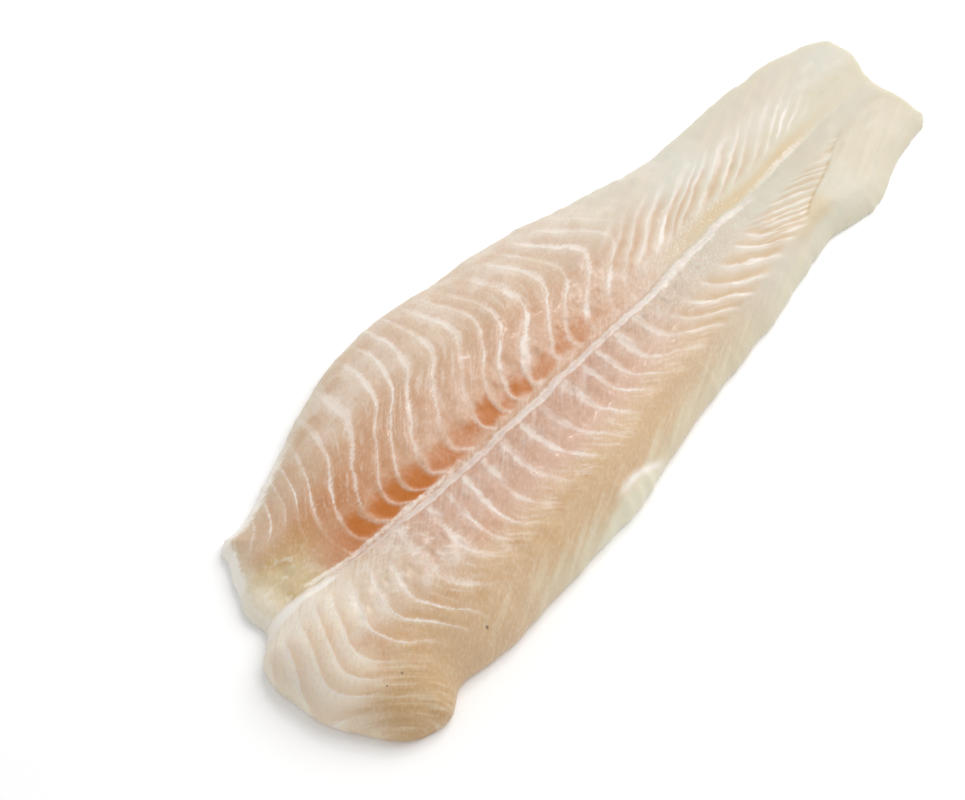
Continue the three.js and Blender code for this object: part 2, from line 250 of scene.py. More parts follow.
# Where each tone and each kind of line shows: its lobe (1 belly, -1 back, 0 both), a window across (in
# parts of that lobe from the midline, or of the whole width for both), a window along (in mm from the head
# end), and its strength.
# A window opens between its first two numbers and closes between its last two.
PLACES = (
    ("orange", 1, (-0.1, 0, 0.4, 0.75), (24, 36, 56, 100), 1.0),
    ("orange", 1, (-0.1, 0, 0.16, 0.34), (45, 60, 130, 178), 0.95),
    ("ember", 1, (0.01, 0.04, 0.1, 0.26), (26, 44, 72, 110), 0.65),
    ("peach", 1, (-0.1, 0, 0.36, 0.66), (60, 80, 140, 205), 1.0),
    ("pink", -1, (-0.1, 0, 0.4, 0.68), (36, 60, 115, 190), 1.0),
    ("tan", -1, (0.42, 0.7, 1.1, 1.2), (-20, 10, 130, 190), 1.0),
    ("cream", -1, (-0.1, 0, 0.3, 0.5), (130, 160, 190, 225), 0.6),
    ("golden", -1, (0.66, 0.85, 1.1, 1.2), (-20, -10, 20, 42), 0.8),
    ("amber", 1, (0.2, 0.3, 0.42, 0.56), (16, 24, 31, 42), 0.75),
    ("cream", 1, (0.5, 0.8, 1.1, 1.2), (70, 95, 190, 230), 0.9),
    ("tail", 0, (-2, -1.5, 1.5, 2), (120, 195, 300, 310), 1.0),
    # Painted shade: these rows darken the tail's tone where the lamps light it brightest, and warm its hue
    ("dim_tail", -1, (0.1, 0.3, 0.7, 0.9), (180, 210, 300, 310), 0.7),
    ("dim_tail", -1, (-0.1, 0, 0.2, 0.3), (170, 200, 235, 250), 0.4),
    ("dim_tail", 1, (-0.1, 0.0, 0.3, 0.5), (150, 190, 300, 310), 0.8),
    ("groove", 1, (0.02, 0.05, 0.1, 0.18), (150, 185, 210, 250), 0.7),
    ("groove", -1, (0.5, 0.6, 0.75, 0.9), (184, 195, 204, 212), 0.5),
    ("fat", 1, (-0.1, 0, 0.28, 0.42), (-20, -10, 24, 36), 1.0),
    # Head rows: the milky cream of the head end, laid on strongly enough to be painted light on its front
    # slope, which faces away from the lamps
    ("head", -1, (-0.1, 0, 0.36, 0.62), (-20, -10, 18, 50), 1.1),
    ("head", 1, (-0.1, 0, 0.6, 0.7), (-20, -10, 13, 21), 0.9),
    ("head", -1, (0.3, 0.4, 0.64, 0.84), (-20, -10, 10, 26), 1.1),
    ("head", -1, (0.5, 0.6, 0.8, 0.95), (-20, -10, 4, 14), 0.7),
    ("blush", -1, (0.3, 0.46, 0.74, 0.86), (8, 16, 60, 110), 0.7),
    ("blush", 1, (0.05, 0.12, 0.42, 0.6), (36, 50, 140, 180), 0.6),
    ("milk", -1, (-0.1, 0, 0.45, 0.65), (-20, -10, 48, 64), 1.0),
    ("wisp", -1, (0.03, 0.08, 0.4, 0.56), (0, 10, 52, 66), 0.8),
    ("milk", -1, (0.02, 0.1, 0.3, 0.6), (30, 60, 190, 215), 0.25),
    ("milk", 1, (0.6, 0.75, 1.1, 1.2), (40, 60, 180, 210), 0.8),
    ("blush", 1, (0.4, 0.55, 0.85, 1.0), (24, 34, 70, 100), 0.5),
    ("milk", -1, (0.3, 0.45, 0.9, 1.0), (200, 215, 240, 252), 0.3),
    ("milk", 1, (0.14, 0.2, 0.26, 0.34), (140, 150, 162, 175), 0.9),
    # Painted glints: the white spots of these rows stand for light glinting off the wet flesh, and their
    # orange spots are flecks in the flesh
    ("sparkle", 1, (0.04, 0.07, 0.16, 0.28), (140, 152, 185, 200), 0.6),
    ("sparkle", -1, (0.03, 0.06, 0.24, 0.4), (130, 150, 180, 200), 0.5),
    ("sparkle", 0, (-0.5, -0.4, 0.3, 0.4), (80, 100, 140, 152), 0.2),
    ("thread", 0, (-2, -1.5, 1.5, 2), (-20, -10, 140, 190), 1.0),
    ("fibre", -1, (-0.1, 0, 0.16, 0.32), (10, 30, 100, 190), 1.0),
    ("fibre", -1, (-0.1, 0, 0.3, 0.45), (-10, 5, 44, 54), 0.6),
    ("fibre", 1, (-0.1, 0, 0.06, 0.12), (22, 42, 110, 190), 1.0),
    ("flow", -1, (0.74, 0.88, 1.1, 1.2), (35, 60, 188, 203), 0.9),
    ("flow", -1, (0.2, 0.4, 0.9, 1.0), (206, 222, 250, 260), 0.45),
    ("flow", 1, (0.5, 0.66, 1.1, 1.2), (150, 170, 235, 250), 0.5),
    ("streak", -1, (0.42, 0.55, 0.64, 0.74), (15, 40, 175, 200), 0.6),
    ("streak", 1, (0.26, 0.42, 0.6, 0.78), (30, 50, 120, 150), 0.6),
    ("septum", -1, (0.04, 0.08, 0.5, 0.68), (38, 52, 132, 155), 1.0),
    ("septum", -1, (0.16, 0.3, 0.74, 0.88), (26, 34, 46, 60), 0.9),
    ("head_septum", -1, (0.12, 0.3, 0.66, 0.8), (-10, 2, 26, 36), 1.0),
    ("septum", -1, (0.8, 0.86, 0.95, 1.02), (45, 70, 180, 198), 0.25),
    ("septum", 1, (0.02, 0.05, 0.16, 0.22), (36, 50, 148, 165), 0.35),
    ("septum", 1, (0.18, 0.28, 0.74, 0.9), (30, 42, 95, 112), 0.8),
    ("septum", 1, (0.5, 0.62, 0.98, 1.06), (16, 24, 95, 110), 0.9),
    ("septum", 1, (0.12, 0.2, 0.78, 0.92), (90, 105, 144, 168), 1.0),
    ("late_septum", -1, (0.26, 0.4, 0.64, 0.76), (132, 155, 188, 200), 1.0),
    ("belly_stroke", 1, (0.14, 0.26, 0.52, 0.7), (148, 164, 222, 240), 1.0),
    ("stroke", -1, (0.2, 0.32, 0.62, 0.76), (184, 196, 300, 310), 1.0),
    ("warm_gap", 1, (0.16, 0.26, 0.42, 0.6), (146, 158, 186, 225), 1.0),
    ("gap", -1, (0.2, 0.32, 0.6, 0.7), (180, 190, 300, 310), 1.0),
    ("fine", -1, (0.2, 0.4, 1.1, 1.2), (-20, -10, 28, 55), 1.0),
    ("fine", 1, (0.1, 0.2, 1.1, 1.2), (10, 20, 50, 80), 1.0),
    ("grain", -1, (0.6, 0.74, 1.1, 1.2), (-20, -10, 18, 34), 1.0),
    ("lip", 0, (0.0, 0.025, 0.05, 0.08), (22, 26, 50, 110), 0.9),
    ("lip", 0, (-0.09, -0.05, -0.01, 0.03), (146, 158, 184, 200), 0.55),
    ("lip", -1, (0.01, 0.03, 0.07, 0.12), (4, 9, 25, 32), 1.2),
    ("tuft", -1, (0.03, 0.06, 0.24, 0.44), (40, 52, 150, 170), 1.0),
    ("tuft", -1, (0.22, 0.3, 0.42, 0.5), (20, 26, 58, 66), 1.2),
    ("tuft", 1, (0.12, 0.17, 0.24, 0.34), (80, 95, 150, 175), 0.7),
    ("band", 1, (0.5, 0.6, 0.8, 0.95), (80, 100, 150, 170), 1.0),
    ("band", 1, (0.6, 0.7, 1.1, 1.2), (46, 64, 80, 100), 0.9),
    ("ridge", 0, (-0.06, -0.04, 0.0, 0.032), (24, 32, 150, 180), 1.0),
    ("ridge", 0, (-0.1, -0.05, 0.0, 0.035), (145, 160, 186, 206), 0.9),
    ("ridge", 0, (-0.01, 0.02, 0.06, 0.08), (186, 206, 214, 232), 0.55),
    ("ridge", 0, (-0.11, -0.08, -0.04, -0.02), (8, 13, 26, 33), 1.0),
    ("skin", 1, (0.2, 0.4, 1.1, 1.2), (-20, -10, 38, 62), 1.1),
    ("skin", 1, (-0.1, 0, 0.4, 0.6), (-20, -10, 20, 30), 0.7),
    ("rim", 0, (-2, -1.5, 1.5, 2), (180, 205, 300, 310), 1.0),
    ("rim", -1, (-0.1, 0, 1.1, 1.2), (46, 75, 300, 310), 1.0),
    ("rim", 1, (-0.1, 0, 1.1, 1.2), (-20, -10, 75, 100), 0.8),
    ("rim", 1, (-0.1, 0, 1.1, 1.2), (70, 90, 190, 210), 0.4),
    ("rim", -1, (-0.1, 0, 0.5, 0.7), (-20, -10, 20, 40), 0.3),
    ("rim", 1, (-0.1, 0, 0.6, 0.7), (-20, -10, 14, 24), 1.3),
)

# Marks of the bone side alone, which the flat side on the table doesn't have
BONE_SIDE_ONLY = (
    "bone_side", "orange", "ember", "amber", "fat", "groove", "pit", "ridge", "lip", "tuft", "skin",
    "fibre", "sparkle", "wisp", "fold", "crease", "flap_line",
)

# Each row of places is patchy in its own way: how much, the size of the patches, and the first row's seed.
# A mark of one lobe stops at the midline over twice LOBE_SEAM.
PATCHINESS = 0.35
PATCH_SIZE = 12 * MM
PATCH_SEED = 100
LOBE_SEAM = 0.012

# Dark specks on the flesh: place in the frame and radius, in mm
SPECKS = ((-85.7, -40.0, 0.6), (-109.8, -32.9, 0.4), (-114.5, -32.1, 0.35))

# Mesh: rows along, columns across and how much they crowd, fine steps to one step underneath, wall rings
ROWS = 481
COLUMNS = 169
COLUMN_CROWDING = 0.35
UNDER_STRIDE = 4
WALL_BANDS = 3

# Work sizes: points measured against the outline at once, and lattice steps after which a noise repeats
POINTS_AT_ONCE = 2000
NOISE_LATTICE = 64

# Photograph's view, with angles in degrees, lens and sensor in mm, and the nearest distance that is drawn
VIEW_AZIMUTH = -49.31
VIEW_ELEVATION = 60.0
VIEW_TARGET = (-31.25 * MM, 8.35 * MM, 0.0)
VIEW_DISTANCE = 620 * MM
LENS = 85.0
SENSOR = 36.0
NEAREST = 10 * MM

# Studio: half the floor's width in metres, strength of the white surroundings, and lamps by name, diameter
# in metres, watts and place (to the camera's right, away from it and up, in metres from the fillet)
FLOOR_HALF = 3.0
SURROUNDINGS = 0.66
LAMPS = (
    ("softbox", 1.0, 7.9, (0.5, 0.5, 0.95)),
    ("glint_lamp", 0.12, 0.65, (0.1, 0.6, 0.95)),
)


def lerp(first, second, share):
    """Straight mix of two values."""
    return first + (second - first) * share


def rise(value, start, end):
    """0 before start, 1 after end, and an S-shaped cubic between."""
    share = np.clip((value - start) / (end - start), 0, 1)
    return share * share * (3 - 2 * share)


def window(value, corners):
    """Rises between the first two corners and falls between the last two."""
    return rise(value, corners[0], corners[1]) * (1 - rise(value, corners[2], corners[3]))


def bell(value, middle, reach):
    """Bell curve: 1 at the middle, falling off over the reach."""
    return np.exp(-(((value - middle) / reach) ** 2))


def curve_through(pairs, place_scale, value_scale):
    """Smooth curve through given pairs: a cubic between two knots, whose slope at a knot is the mean
    of the slopes on both sides, held level beyond the ends."""
    places, values = np.array(pairs, float).T
    places = places * place_scale
    values = values * value_scale
    slopes = np.diff(values) / np.diff(places)
    tangents = np.concatenate([slopes[:1], (slopes[1:] + slopes[:-1]) / 2, slopes[-1:]])

    def curve(place):
        inside = np.clip(place, places[0], places[-1])
        knot = np.clip(np.searchsorted(places, inside, side="right") - 1, 0, len(places) - 2)
        step = places[knot + 1] - places[knot]
        u = (inside - places[knot]) / step
        start = (2 * u**3 - 3 * u**2 + 1) * values[knot] + (u**3 - 2 * u**2 + u) * step * tangents[knot]
        end = (3 * u**2 - 2 * u**3) * values[knot + 1] + (u**3 - u**2) * step * tangents[knot + 1]
        return start + end

    return curve


belly_edge = curve_through(BELLY_EDGE, LENGTH, WIDTH)
back_edge = curve_through(BACK_EDGE, LENGTH, WIDTH)
midline = curve_through(MIDLINE, LENGTH, WIDTH)
head_end = curve_through(HEAD_END, 1, LENGTH)
tail_end = curve_through(TAIL_END, 1, LENGTH)
flap_edge = curve_through(FLAP_EDGE, 1, LENGTH)
sweep_places = [place for place, pairs in SWEEPS]
sweep_curves = [curve_through(pairs, 1, LENGTH) for place, pairs in SWEEPS]
back_crest = curve_through(BACK_CREST, LENGTH, THICKNESS)
belly_crest = curve_through(BELLY_CREST, LENGTH, THICKNESS)
groove_floor = curve_through(GROOVE_FLOOR, LENGTH, THICKNESS)
lip_of_back = curve_through(LIP_OF_BACK, LENGTH, THICKNESS)


def smooth_noise(x, y, size, seed):
    """Value noise between -1 and 1: random heights on a square lattice of that size, eased in between."""
    heights = np.random.default_rng(seed).uniform(-1, 1, (NOISE_LATTICE, NOISE_LATTICE))
    u = x / size
    v = y / size
    column = np.floor(u).astype(int)
    row = np.floor(v).astype(int)
    left = column % NOISE_LATTICE
    right = (column + 1) % NOISE_LATTICE
    low = row % NOISE_LATTICE
    high = (row + 1) % NOISE_LATTICE
    across = rise(u - column, 0, 1)
    near = lerp(heights[left, low], heights[right, low], across)
    far = lerp(heights[left, high], heights[right, high], across)
    return lerp(near, far, rise(v - row, 0, 1))


def noise_share(x, y, size, seed):
    """The same noise as a share between 0 and 1."""
    return 0.5 + 0.5 * smooth_noise(x, y, size, seed)


def septum_sweep(foot, across):
    """Tailward sweep of a septum whose foot lies at that part of the length: drawn sweeps, each
    blended into the next along the length."""
    sweep = sweep_curves[0](across)
    for start, end, curve in zip(sweep_places, sweep_places[1:], sweep_curves[1:]):
        sweep = lerp(sweep, curve(across), rise(foot, start, end))
    return sweep


def plan(along, across):
    """Place on the table, from the head end and from the centre line: a straight fibre, bent at both ends
    to the end outlines, spread between midline and edges, and shifted sideways by noise."""
    fibre = lerp(MEAN_HEAD, MEAN_TAIL, along) * LENGTH
    head_shape = (1 - along) ** END_SHAPE_POWER * (head_end(across) - MEAN_HEAD * LENGTH)
    tail_shape = along**END_SHAPE_POWER * (tail_end(across) - MEAN_TAIL * LENGTH)
    x = fibre + head_shape + tail_shape
    half_width = (belly_edge(x) - back_edge(x)) / 2
    bend = (belly_edge(x) + back_edge(x)) / 2 - midline(x)
    y = midline(x) + across * half_width + across**2 * bend
    shift_x = sum(reach * smooth_noise(x, y, size, seed) for reach, size, seed in RAGGED)
    shift_y = sum(reach * smooth_noise(x, y, size, seed + 1) for reach, size, seed in RAGGED)
    return x + shift_x, y + shift_y


def lobe(place, crest_place, inner, crest, fall):
    """One lobe's height: a sine swell from its inner edge to its crest, then a parabola to its edge."""
    swell = inner + (crest - inner) * np.sin(np.pi / 2 * np.clip(place / crest_place, 0, 1))
    droop = crest * (1 - fall * ((place - crest_place) / (1 - crest_place)) ** 2)
    return np.where(place < crest_place, swell, droop)


def flesh_height(x, across):
    """Height of the full flesh: back lobe and belly lobe, a step between them and a ridge on the step."""
    belly = lobe(np.clip(across, 0, 1), BELLY_CREST_PLACE, groove_floor(x), belly_crest(x), BELLY_FALL)
    back = lobe(np.clip(-across, 0, 1), BACK_CREST_PLACE, lip_of_back(x), back_crest(x), BACK_FALL)
    into_groove = rise(across, -STEP_WIDTH / 2, STEP_WIDTH / 2)
    ridge = RIDGE_HEIGHT * (1 - rise(x, *RIDGE_FADE)) * bell(across, RIDGE_PLACE, RIDGE_WIDTH)
    return lerp(back, belly, into_groove) + ridge


def distance_to_loop(x, y, loop):
    """Distance of each point from a closed loop of straight sides, worked out in blocks of points."""
    points = np.stack([x.ravel(), y.ravel()], 1)
    sides = np.roll(loop, -1, 0) - loop
    squares = (sides**2).sum(1)
    found = []
    for first in range(0, len(points), POINTS_AT_ONCE):
        offsets = points[first : first + POINTS_AT_ONCE, None] - loop[None]
        shares = np.clip((offsets * sides).sum(2) / squares, 0, 1)
        gaps = offsets - shares[..., None] * sides
        found.append(np.sqrt((gaps**2).sum(2).min(1)))
    return np.concatenate(found).reshape(x.shape)


def boundary_loop(rows, columns):
    """Vertex numbers round the edge of a grid, anticlockwise seen from above."""
    number = np.arange(rows * columns).reshape(rows, columns)
    return np.concatenate([number[:-1, 0], number[-1, :-1], number[:0:-1, -1], number[0, :0:-1]])


def grid_faces(rows, columns):
    """Quads of a grid, facing up."""
    number = np.arange(rows * columns).reshape(rows, columns)
    return np.stack([number[:-1, :-1], number[1:, :-1], number[1:, 1:], number[:-1, 1:]], -1).reshape(-1, 4)


def uneven_count(count, x, y, seed, spread, wander):
    """A count of lines, spaced unevenly by noise along the count, while noise over the flesh makes each
    line wander."""
    spacing = smooth_noise(count, np.zeros_like(count), SPREAD_LENGTH, seed)
    drift = smooth_noise(x, y, WANDER_SIZE, seed + 1)
    shake = smooth_noise(x, y, SHAKE_SIZE, seed + 2)
    return count + spread * spacing + wander * (drift + SHAKE_SHARE * shake)


def flake_phase(x, y, across):
    """Count of septa from the head end. A point belongs to the septum whose foot plus its sweep meets the
    point. That foot is found in rounds, each going a share of the remaining way. Each lobe is uneven in its
    own way."""
    foot = x / LENGTH
    for _ in range(FOOT_ROUNDS):
        foot = lerp(foot, (x - septum_sweep(foot, across)) / LENGTH, FOOT_STEP)
    extra = EXTRA_HEAD_FLAKES * rise(foot, -HEAD_FLAKES_END, HEAD_FLAKES_END)
    count = foot * LENGTH / FLAKE_PITCH + extra
    back, belly = [uneven_count(count, x, y, seed, *SEPTA_UNEVEN) for seed in SEPTA_SEEDS]
    return lerp(back, belly, rise(across, -SEPTA_SEAM, SEPTA_SEAM))


def stroke_count(x, y, across):
    """Count of the straight strokes of the tail, which slope away from the midline on both lobes."""
    counts = []
    for slope, pitch, seed in (BACK_STROKES, BELLY_STROKES):
        count = (x / MM - slope * np.abs(across)) / pitch
        counts.append(uneven_count(count, x, y, seed, *STROKES_UNEVEN))
    return np.where(across < 0, *counts)


def shingle(phase):
    """Height within a flake: from -0.5 just past its front septum up to about 0.5 at its crest, then a
    quick drop."""
    place = phase - np.floor(phase)
    return rise(place, *SHINGLE_CLIMB) * (1 - rise(place, *SHINGLE_DROP)) - 0.5


def marks(across, x, y, edge):
    """What the material reads: the counts of septa and strokes, the place across, the distance from the
    edge in mm, and how strongly each tone and each kind of line shows."""
    phase = flake_phase(x, y, across)
    values = {"phase": phase, "across": across, "edge": edge / MM, "strokes": stroke_count(x, y, across)}
    for row, (name, side, across_window, along_window, strength) in enumerate(PLACES):
        patch = 1 - PATCHINESS * noise_share(x, y, PATCH_SIZE, PATCH_SEED + row)
        place = side * across if side else across
        on_lobe = rise(place, -LOBE_SEAM, LOBE_SEAM) if side else 1.0
        here = strength * on_lobe * window(place, across_window) * window(x / MM, along_window) * patch
        values[name] = np.maximum(values.get(name, 0), here)

    past_flap = x - flap_edge(across)
    flap = rise(past_flap, *FLAP_SOFTNESS) * rise(-across, *FLAP_OPENING)
    # painted shade: a tan line at the foot of the flap's raised edge
    flap_line = bell(past_flap, FLAP_SHADE_PLACE, FLAP_SHADE_REACH)
    values["flap"] = flap
    values["flap_line"] = flap_line * window(-across, FLAP_SHADE_WINDOW)
    for name in FLAP_COVERS:
        values[name] = values[name] * (1 - flap)
    for count, changes, seed, least, names in UNEQUAL_LINES:
        nearest = np.floor(values[count] + HALF_COUNT)
        strength = lerp(least, 1, noise_share(nearest * LINE_STEP, across * changes, 1, seed))
        for name in names:
            values[name] = values[name] * strength
    values["bone_side"] = np.ones_like(x)
    values["pit"] = pits(phase, across, x, y)
    inside_fold = -across - 1 + FOLD_REACH * window(x / MM, FOLD_WINDOW)
    values["fold"] = rise(inside_fold, 0, FOLD_SOFTNESS)
    values["crease"] = bell(inside_fold, 0, CREASE_REACH) * window(x / MM, CREASE_WINDOW)
    return values


def pits(phase, across, x, y):
    """Depth of the orange cells from 0 to 1: rounded, between the septa, each with its own place, reach and
    strength, steeper on the side of the ridge and fading out on the far side."""
    flake = np.floor(phase)
    level = np.zeros_like(flake)
    wander, spread, stronger = [smooth_noise(flake, level, 1, seed) for seed in PIT_SEEDS]
    shift, slide = [amount * smooth_noise(x, y, PIT_WARP_SIZE, seed) for amount, seed in PIT_WARPS]
    place = PIT_PLACE + PIT_WANDER * wander
    reach = lerp(PIT_REACH_NEAR_HEAD, PIT_REACH, rise(x / MM, *PIT_NEAR_HEAD))
    reach = reach * (1 + PIT_REACH_SPREAD * spread)
    warped = across + shift
    side = np.where(warped < place, PIT_RIDGE_SIDE, PIT_FAR_SIDE) * reach
    in_flake = phase - flake + slide
    from_middle = np.hypot(np.abs(2 * in_flake - 1) ** PIT_SQUARENESS, (warped - place) / side)
    strength = PIT_STRENGTH + PIT_STRENGTH_SPREAD * stronger
    return strength * (1 - rise(from_middle, *PIT_FADE)) * window(x / MM, PIT_WINDOW)


def top_relief(x, y, top):
    """Relief of the bone side: shingled flakes and strokes, sunken cells, the flap's step, and lumps."""
    plain = PLAIN_SHARE * (1 - top["tail"])
    shingled = np.maximum.reduce([plain, top["septum"], top["late_septum"], top["head_septum"]])
    steps = FLAKE_STEP * shingle(top["phase"]) * shingled
    strokes = STROKE_STEP * shingle(top["strokes"]) * np.maximum(top["stroke"], top["belly_stroke"])
    relief = steps + strokes - PIT_DEPTH * top["pit"] + FLAP_STEP * top["flap"]
    for height, size, seed, limit in LUMPS:
        relief = relief + height * top.get(limit, 1) * smooth_noise(x, y, size, seed)
    return relief


def fillet_top():
    """Bone side: a fine grid over (along, across), its columns crowded at the midline and at the edges.
    Its height is the flesh height, rounded off as a quarter circle by the distance from the outline, plus
    relief and fold. Gives its parameters, that distance, its rim's height, and its points and marks."""
    even = np.linspace(-1, 1, COLUMNS)
    columns = even - COLUMN_CROWDING * np.sin(2 * np.pi * even) / (2 * np.pi)
    along, across = np.meshgrid(np.linspace(0, 1, ROWS), columns, indexing="ij")
    x, y = plan(along, across)
    loop = boundary_loop(ROWS, COLUMNS)
    edge = distance_to_loop(x, y, np.stack([x.ravel()[loop], y.ravel()[loop]], 1))
    top = marks(across, x, y, edge)
    flesh = flesh_height(x, across)
    share = lerp(BACK_EDGE_ROUND, BELLY_EDGE_ROUND, rise(across, -ROUND_BLEND, ROUND_BLEND))
    radius = EDGE_ROUND_MIN + share * flesh
    roundness = np.sqrt(1 - (1 - np.clip(edge / radius, 0, 1)) ** 2)
    rim = RIM_SHARE * flesh
    z = lerp(rim, flesh, roundness) + top_relief(x, y, top) * rise(edge, 0, RELIEF_MARGIN)
    z = z + FOLD_HEIGHT * top["fold"] * roundness
    return along, across, edge, rim, (x, y, z, top)


def fillet_wall(along, across, rim, band):
    """One ring of the wall, which tucks in below the rim as a quarter ellipse."""
    turn = np.pi / 2 * band / (WALL_BANDS + 1)
    inset = 1 - np.cos(turn)
    wall_along = lerp(along, lerp(TUCK_ALONG, 1 - TUCK_ALONG, along), inset)
    wall_across = across * (1 - TUCK_ACROSS * inset)
    x, y = plan(wall_along, wall_across)
    return x, y, rim * (1 - np.sin(turn)), marks(wall_across, x, y, np.zeros_like(x))


def fillet_underside(along, across, edge):
    """Flat side on the table: a coarse grid inside the wall, without the marks of the bone side."""
    under_across = across * (1 - TUCK_ACROSS)
    x, y = plan(lerp(TUCK_ALONG, 1 - TUCK_ALONG, along), under_across)
    level = np.zeros_like(x)
    under = marks(under_across, x, y, edge)
    under.update({name: level for name in BONE_SIDE_ONLY})
    return x, y, level, under


def fillet_faces(loop, under_shape):
    """Quads of the bone side, the wall and the flat side, and triangles between the wall's lowest ring,
    which is fine, and the flat side's coarse edge."""
    quads = [grid_faces(ROWS, COLUMNS)]
    upper = loop
    first = ROWS * COLUMNS
    for _ in range(WALL_BANDS):
        lower = first + np.arange(len(loop))
        quads.append(np.stack([lower, np.roll(lower, -1), np.roll(upper, -1), upper], 1))
        upper = lower
        first += len(loop)
    quads.append(first + grid_faces(*under_shape)[:, ::-1])
    coarse = first + boundary_loop(*under_shape)
    next_coarse = np.roll(coarse, -1)
    fine = np.append(upper, upper[0])
    half = UNDER_STRIDE // 2
    triangles = [np.stack([coarse, next_coarse, fine[half:-1:UNDER_STRIDE]], 1)]
    for step in range(UNDER_STRIDE):
        foot = coarse if step < half else next_coarse
        triangles.append(np.stack([foot, fine[step + 1 :: UNDER_STRIDE], fine[step:-1:UNDER_STRIDE]], 1))
    return np.concatenate(quads), np.concatenate(triangles)


def fillet_mesh():
    """The closed fillet: its bone side, the rings of its wall and its flat side, as points, quads,
    triangles and marks."""
    along, across, edge, rim, top = fillet_top()
    loop = boundary_loop(ROWS, COLUMNS)
    ring = [value.ravel()[loop] for value in (along, across, rim)]
    walls = [fillet_wall(*ring, band) for band in range(1, WALL_BANDS + 1)]
    thinned = [value[::UNDER_STRIDE, ::UNDER_STRIDE] for value in (along, across, edge)]
    underside = fillet_underside(*thinned)
    parts = [top, *walls, underside]
    points = np.concatenate([np.stack([value.ravel() for value in part[:3]], 1) for part in parts])
    values = {name: np.concatenate([part[3][name].ravel() for part in parts]) for name in top[3]}
    quads, triangles = fillet_faces(loop, underside[0].shape)
    return points, quads, triangles, values


def linear(hex_colour):
    """Linear RGBA of an sRGB hex colour."""
    channels = [int(hex_colour[place : place + 2], 16) / 255 for place in (1, 3, 5)]
    return [c / 12.92 if c <= 0.04045 else ((c + 0.055) / 1.055) ** 2.4 for c in channels] + [1.0]


def add_node(tree, kind, inputs, output=0, **settings):
    """Add a shader node, set its own settings, give each input a value or a link, and return one output."""
    node = tree.nodes.new("ShaderNode" + kind)
    for name, value in settings.items():
        setattr(node, name, value)
    for socket, value in inputs.items():
        if isinstance(value, bpy.types.NodeSocket):
            tree.links.new(value, node.inputs[socket])
        else:
            node.inputs[socket].default_value = value
    return node.outputs[output]


def new_material(name, sockets):
    """Node material with constants on its shader's sockets, together with its tree and that shader."""
    material = bpy.data.materials.new(name)
    material.use_nodes = True
    shader = material.node_tree.nodes["Principled BSDF"]
    for socket, value in sockets.items():
        shader.inputs[socket].default_value = value
    return material, material.node_tree, shader


# Finishes: wet, slightly translucent flesh under a thin film of water, and dull white paper
WET_FLESH = {
    "Roughness": 0.42,
    "IOR": 1.38,
    "Coat Weight": 0.15,
    "Coat Roughness": 0.08,
    "Subsurface Weight": 0.15,
    "Subsurface Radius": (1.0, 0.5, 0.3),
    "Subsurface Scale": 2 * MM,
}
WHITE_PAPER = {"Base Color": linear("#ffffff"), "Roughness": 0.9, "Specular IOR Level": 0.0}

# Tones of raw swai: the flesh's own colour, then what lies over it from the widest tone to the smallest
FLESH = "#ceb398"
TONES = (
    ("orange", "#be8458"),
    ("ember", "#b9733f"),
    ("peach", "#cda88d"),
    ("pink", "#cda58f"),
    ("tan", "#cfb089"),
    ("golden", "#c09d6f"),
    ("cream", "#d9c2ac"),
    ("tail", "#d3d0c3"),
    # a duller, warmer tan for the tail, laid on as painted shade where the lamps light it brightest
    ("dim_tail", "#cac0a6"),
    ("groove", "#ccb082"),
    ("fat", "#d0be94"),
    ("amber", "#bb9158"),
    # milky cream of the head end, partly painted light on its shaded front slope
    ("head", "#efe5d2"),
)
PIT_ORANGE = "#bc6c20"
PIT_NET = "#dcc0a8"
FLAKE_SHADE = "#b98255"
HEAD_ORANGE = "#cb9a68"
STROKE_TAN = "#bf9862"
STROKE_ORANGE = "#bd8a54"
SEPTUM_WHITE = "#ece4db"
RIDGE_WHITE = "#f0e9e2"
LIP_WHITE = "#f4eee4"
RIM_PALE = "#d6cfb4"
FOLD_PALE = "#e0dcc4"
SPECK_BROWN = "#54402f"

# Fine patches over the tones: tone, its noise, where that noise begins and is full, strength, and its mark
VEILS = (
    ("#c28656", "blush", 0.44, 0.68, 0.5, "blush"),
    ("#e6dccf", "milk", 0.4, 0.64, 0.75, "milk"),
    ("#f3ecdf", "wisp", 0.52, 0.7, 0.6, "wisp"),
    ("#bd9c52", "lump", 0.52, 0.68, 0.3, "fat"),
    ("#eee9de", "break", 0.52, 0.66, 0.5, "fat"),
    ("#eae0d8", "fibre", 0.46, 0.68, 0.34, "fibre"),
    ("#b38468", "fibre", 0.5, 0.32, 0.2, "fibre"),
    ("#e3d8be", "flow", 0.42, 0.7, 0.6, "flow"),
    ("#eee6dc", "feather", 0.52, 0.64, 0.5, "streak"),
    ("#b98556", "feather", 0.46, 0.34, 0.3, "streak"),
    ("#e6d8bc", "grain", 0.5, 0.66, 0.45, "grain"),
    ("#ae8850", "grain", 0.5, 0.34, 0.35, "grain"),
    ("#f2e9df", "thread", 0.5, 0.7, 0.17, "thread"),
    ("#a97850", "thread", 0.5, 0.3, 0.15, "thread"),
    # white spots here are painted glints; the orange spots below are the flesh's own flecks
    ("#fbf6ec", "sparkle", 0.55, 0.7, 0.6, "sparkle"),
    ("#d09860", "sparkle", 0.48, 0.36, 0.5, "sparkle"),
)

